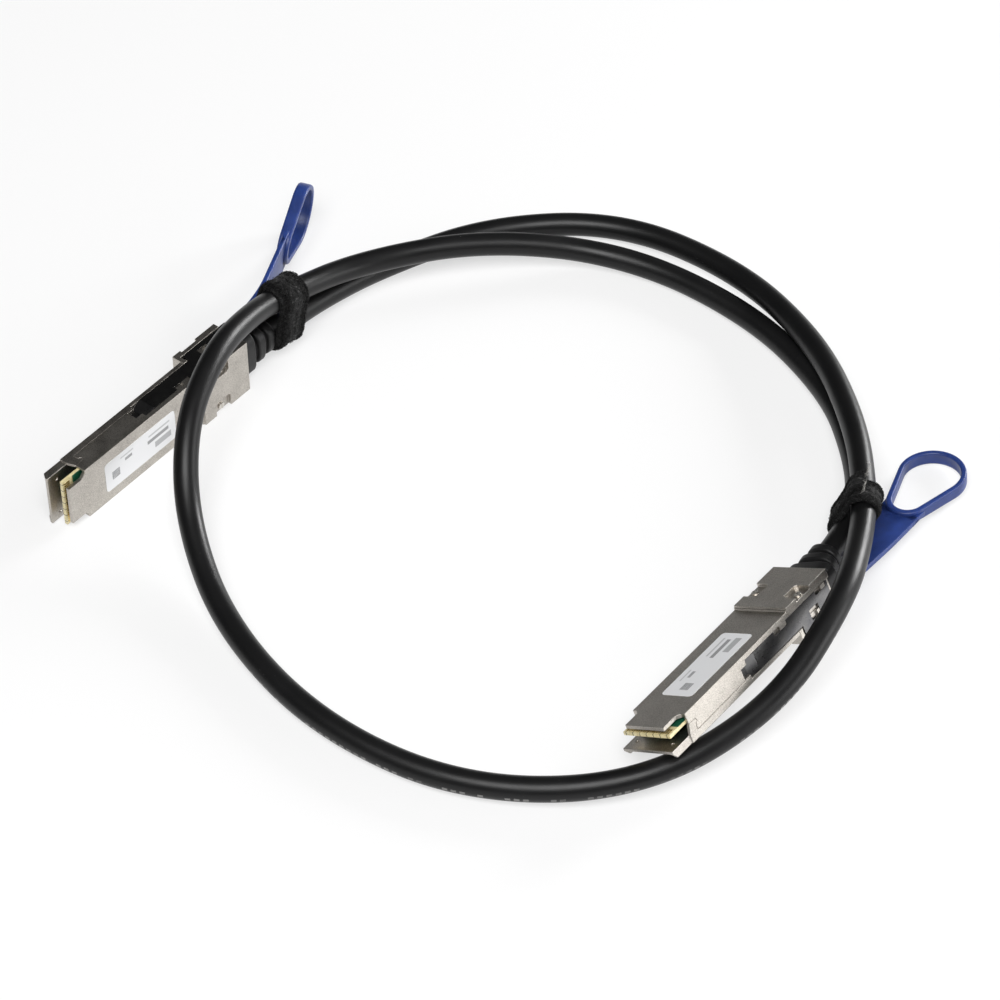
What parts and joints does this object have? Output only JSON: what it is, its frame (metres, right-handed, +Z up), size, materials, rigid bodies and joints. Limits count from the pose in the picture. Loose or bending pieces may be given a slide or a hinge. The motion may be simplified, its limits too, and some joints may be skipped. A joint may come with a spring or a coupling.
{
  "type": "direct attach copper cable",
  "caption": "Coiled passive copper interconnect with a latching metal plug, pull tab and ribbed strain relief at each end.",
  "frame": {"origin": "centre of the bounding box of the two plugs, on the surface that the cable lies on", "axes": "+Z up from the surface; +Y away from the viewer across the coil; +X to the right, from the plug that lies on its narrow side towards the plug that leans on the coil"},
  "size_m": [0.2583, 0.2339, 0.0334],
  "materials": {
    "nickel_shell": "satin nickel plate over die-cast zinc",
    "latch_steel": "smooth stamped spring steel",
    "pull_tab_blue": "moulded elastomer, satin",
    "black_jacket": "satin black cable jacket",
    "black_moulding": "matte black strain relief",
    "tie_fabric": "black hook-and-loop pile",
    "board": "green solder mask with cream board edges",
    "gold": "gold plated contacts",
    "screw_steel": "plated screws",
    "label_white": "white coated label stock",
    "clamp_metal": "crimped sleeve",
    "lead_insulation": "foil wrapped insulated pairs"
  },
  "bodies": {
    "cable_body": {"label_shell_a": "nickel_shell", "tab_shell_a": "nickel_shell", "paddle_card_a": "board", "contact_pads_a": "gold", "shell_screws_a": "screw_steel", "label_a": "label_white", "cable_clamp_a": "clamp_metal", "twinax_leads_a": "lead_insulation", "strain_relief_a": "black_moulding", "label_shell_b": "nickel_shell", "tab_shell_b": "nickel_shell", "paddle_card_b": "board", "contact_pads_b": "gold", "shell_screws_b": "screw_steel", "label_b": "label_white", "cable_clamp_b": "clamp_metal", "twinax_leads_b": "lead_insulation", "strain_relief_b": "black_moulding", "cable": "black_jacket", "tie_a": "tie_fabric", "tie_b": "tie_fabric"},
    "slider_a": {"latch_slider_a": "latch_steel", "pull_tab_a": "pull_tab_blue"},
    "slider_b": {"latch_slider_b": "latch_steel", "pull_tab_b": "pull_tab_blue"}
  },
  "joints": [
    {"name": "latch_a_slide", "type": "slide", "parent": "cable_body", "child": "slider_a", "axis": [0.6318, 0.7752, 0], "range_m": [0, 0.0025], "stiffness_N_per_m": 600},
    {"name": "latch_b_slide", "type": "slide", "parent": "cable_body", "child": "slider_b", "axis": [0.6078, 0.7926, -0.0489], "range_m": [0, 0.0025], "stiffness_N_per_m": 600}
  ]
}
